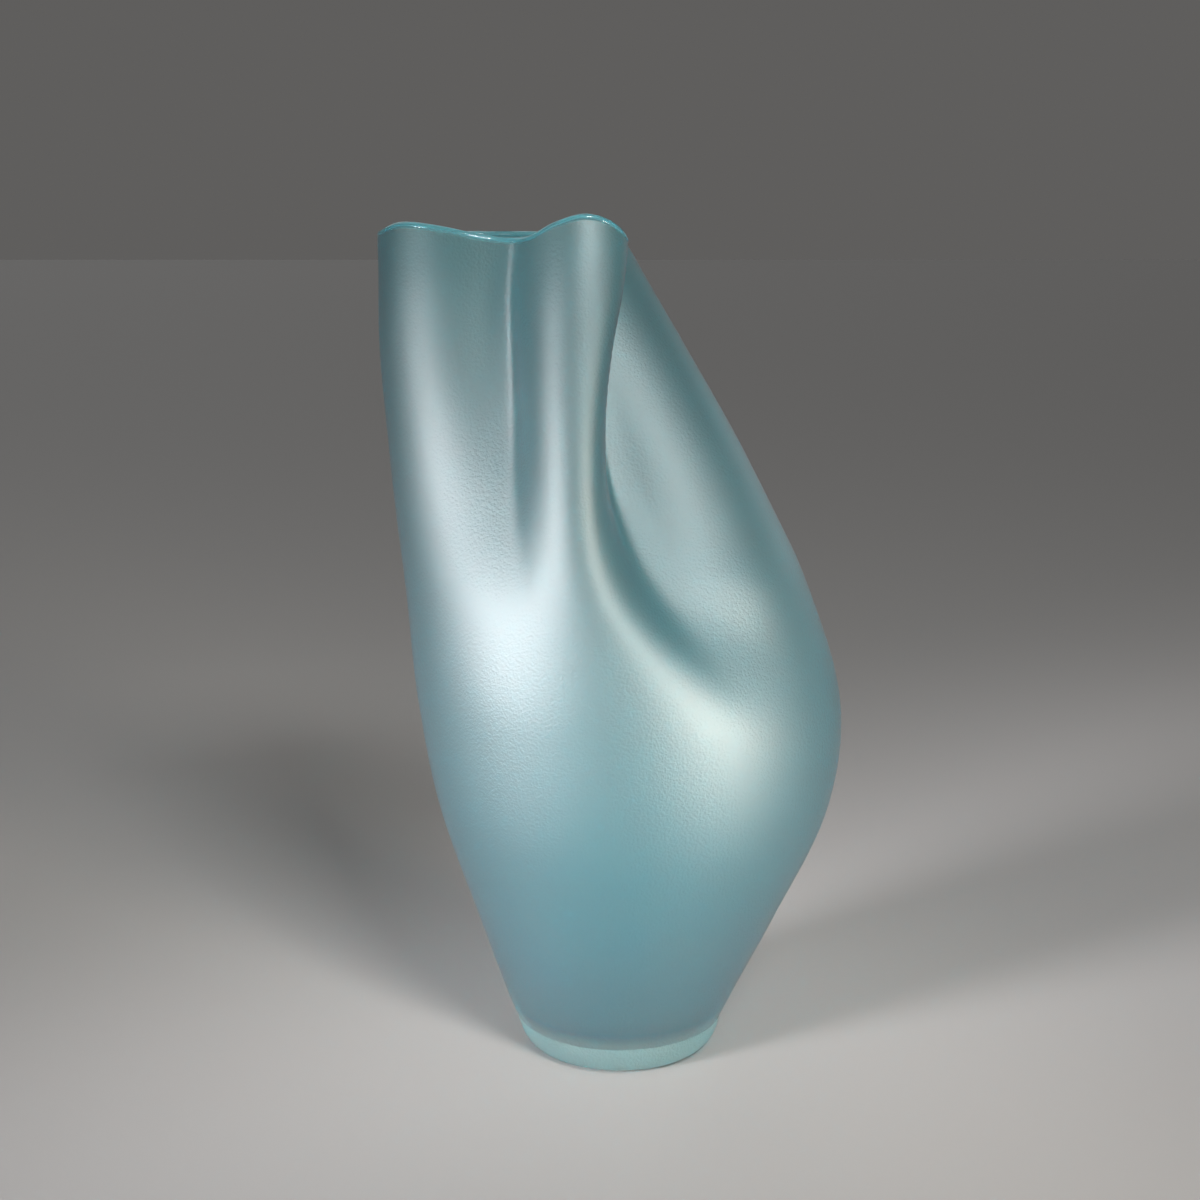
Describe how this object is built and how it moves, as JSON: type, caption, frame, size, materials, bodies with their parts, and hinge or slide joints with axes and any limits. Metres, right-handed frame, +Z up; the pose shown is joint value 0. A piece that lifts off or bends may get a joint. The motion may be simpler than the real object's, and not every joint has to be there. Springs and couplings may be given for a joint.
{
  "type": "hand blown art glass vase",
  "caption": "Tall freeform vase of aqua glass cased in satin clear glass, with a leaning three-lobed pinched neck, a glossy thin lip and a thick clear foot",
  "frame": {"origin": "centre of the round foot, on the table", "axes": "+Z up; -Y is the front, the side the pinched front lobe faces; the neck leans towards -X"},
  "size_m": [0.1943, 0.1658, 0.3574],
  "materials": {
    "clear_foot": "satin etched clear glass, pale green",
    "clear_casing": "satin etched clear glass with a fine sparkling grain",
    "aqua_bubble": "transparent aqua glass, smooth inside",
    "fire_polished_lip": "glossy fire-polished teal glass"
  },
  "bodies": {
    "root": {"clear_foot": "clear_foot", "clear_casing": "clear_casing", "aqua_bubble": "aqua_bubble", "fire_polished_lip": "fire_polished_lip"}
  },
  "joints": []
}
